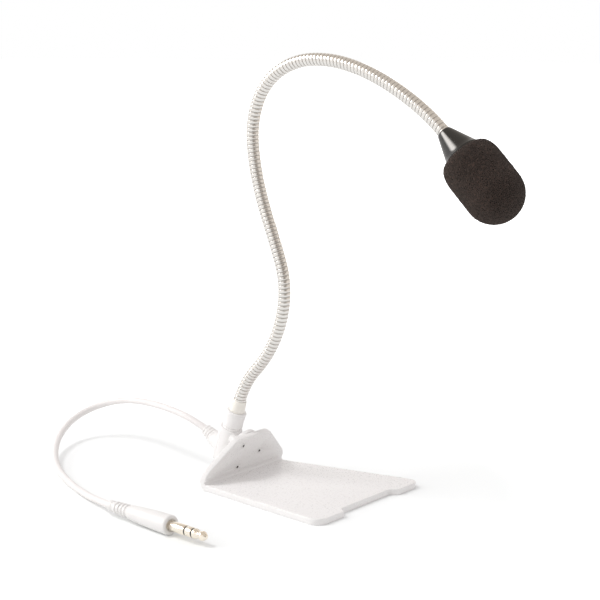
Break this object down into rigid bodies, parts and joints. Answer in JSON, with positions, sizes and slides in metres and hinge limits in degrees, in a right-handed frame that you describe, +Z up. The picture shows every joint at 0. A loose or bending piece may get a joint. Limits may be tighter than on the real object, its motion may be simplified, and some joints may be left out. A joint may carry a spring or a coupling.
{
  "type": "gooseneck podium microphone",
  "caption": "Desk microphone: flexible neck rises from a moulded housing screwed behind the leaning wall of a bent plate and carries a capsule in a foam windscreen; a cord ends in a jack plug.",
  "frame": {"origin": "middle of the plate's underside, on the surface the plate rests on", "axes": "+Z up, -Y towards the notched front edge where the speaker stands, +X to the right of someone who looks along +Y"},
  "size_m": [0.1866, 0.378, 0.287],
  "materials": {
    "acrylic_white": "polished, opal",
    "screw_white": "painted",
    "moulded_white": "satin",
    "board_green": "matte",
    "ferrule_cream": "satin",
    "steel": "satin",
    "neck_nickel": "polished",
    "lead_grey": "matte",
    "gloss_black": "gloss",
    "inner_black": "matte",
    "foam_charcoal": "open-cell foam",
    "cord_white": "satin",
    "handle_white": "satin",
    "contact_gold": "polished"
  },
  "bodies": {
    "stand": {"base_plate": "acrylic_white", "wall_screws": "screw_white", "front_shell": "moulded_white", "rear_shell": "moulded_white", "terminal_board": "board_green", "neck_collar": "moulded_white", "neck_ferrule": "ferrule_cream", "clamp_nut": "steel", "cord_relief": "cord_white", "cord": "cord_white", "plug_boot": "cord_white", "plug_handle": "handle_white", "plug_sleeve": "contact_gold", "plug_rear_washer": "inner_black", "plug_ring": "contact_gold", "plug_front_washer": "inner_black", "plug_tip": "contact_gold", "neck_link_01": "neck_nickel", "mic_lead_01": "lead_grey"},
    "neck_02": {"neck_link_02": "neck_nickel", "mic_lead_02": "lead_grey"},
    "neck_03": {"neck_link_03": "neck_nickel", "mic_lead_03": "lead_grey"},
    "neck_04": {"neck_link_04": "neck_nickel", "mic_lead_04": "lead_grey"},
    "neck_05": {"neck_link_05": "neck_nickel", "mic_lead_05": "lead_grey"},
    "neck_06": {"neck_link_06": "neck_nickel", "mic_lead_06": "lead_grey"},
    "neck_07": {"neck_link_07": "neck_nickel", "mic_lead_07": "lead_grey"},
    "neck_08": {"neck_link_08": "neck_nickel", "mic_lead_08": "lead_grey"},
    "neck_09": {"neck_link_09": "neck_nickel", "mic_lead_09": "lead_grey"},
    "neck_10": {"neck_link_10": "neck_nickel", "mic_lead_10": "lead_grey"},
    "neck_11": {"neck_link_11": "neck_nickel", "mic_lead_11": "lead_grey"},
    "neck_12": {"neck_link_12": "neck_nickel", "mic_lead_12": "lead_grey"},
    "neck_13": {"neck_link_13": "neck_nickel", "mic_lead_13": "lead_grey"},
    "head": {"neck_link_14": "neck_nickel", "mic_lead_14": "lead_grey", "head_cone": "gloss_black", "head_nut": "steel", "capsule_barrel": "gloss_black", "capsule_holder": "inner_black", "capsule": "steel", "barrel_grille": "steel"},
    "foam_cover": {"windscreen": "foam_charcoal"}
  },
  "joints": [
    {"name": "neck_bend_01", "type": "hinge", "parent": "stand", "child": "neck_02", "pos_m": [0, 0.04225, 0.07697], "axis": [1, 0, 0], "range_deg": [-18, 18]},
    {"name": "neck_sway_02", "type": "hinge", "parent": "neck_02", "child": "neck_03", "pos_m": [0, 0.02657, 0.09894], "axis": [0, 0.8949, 0.4462], "range_deg": [-18, 18]},
    {"name": "neck_bend_03", "type": "hinge", "parent": "neck_03", "child": "neck_04", "pos_m": [0, 0.01892, 0.12479], "axis": [1, 0, 0], "range_deg": [-14, 18]},
    {"name": "neck_sway_04", "type": "hinge", "parent": "neck_04", "child": "neck_05", "pos_m": [0, 0.02196, 0.15149], "axis": [0, 0.9426, -0.3338], "range_deg": [-18, 18]},
    {"name": "neck_bend_05", "type": "hinge", "parent": "neck_05", "child": "neck_06", "pos_m": [0, 0.03167, 0.17678], "axis": [1, 0, 0], "range_deg": [-18, 14]},
    {"name": "neck_sway_06", "type": "hinge", "parent": "neck_06", "child": "neck_07", "pos_m": [0, 0.04049, 0.20239], "axis": [0, 0.9636, -0.2672], "range_deg": [-18, 18]},
    {"name": "neck_bend_07", "type": "hinge", "parent": "neck_07", "child": "neck_08", "pos_m": [0, 0.04518, 0.22904], "axis": [1, 0, 0], "range_deg": [-18, 12]},
    {"name": "neck_sway_08", "type": "hinge", "parent": "neck_08", "child": "neck_09", "pos_m": [0, 0.04075, 0.2555], "axis": [0, 0.9171, 0.3987], "range_deg": [-18, 18]},
    {"name": "neck_bend_09", "type": "hinge", "parent": "neck_09", "child": "neck_10", "pos_m": [0, 0.02294, 0.27529], "axis": [1, 0, 0], "range_deg": [-18, 5]},
    {"name": "neck_sway_10", "type": "hinge", "parent": "neck_10", "child": "neck_11", "pos_m": [0, -0.00287, 0.28269], "axis": [0, 0.0436, 0.999], "range_deg": [-18, 18]},
    {"name": "neck_bend_11", "type": "hinge", "parent": "neck_11", "child": "neck_12", "pos_m": [0, -0.02976, 0.2801], "axis": [1, 0, 0], "range_deg": [-18, 14]},
    {"name": "neck_sway_12", "type": "hinge", "parent": "neck_12", "child": "neck_13", "pos_m": [0, -0.05535, 0.27129], "axis": [0, -0.4147, 0.91], "range_deg": [-18, 18]},
    {"name": "neck_bend_13", "type": "hinge", "parent": "neck_13", "child": "head", "pos_m": [0, -0.07914, 0.25837], "axis": [1, 0, 0], "range_deg": [-18, 14]},
    {"name": "windscreen_pull", "type": "slide", "parent": "head", "child": "foam_cover", "axis": [0, -0.7373, -0.6756], "range_m": [0, 0.026]}
  ]
}
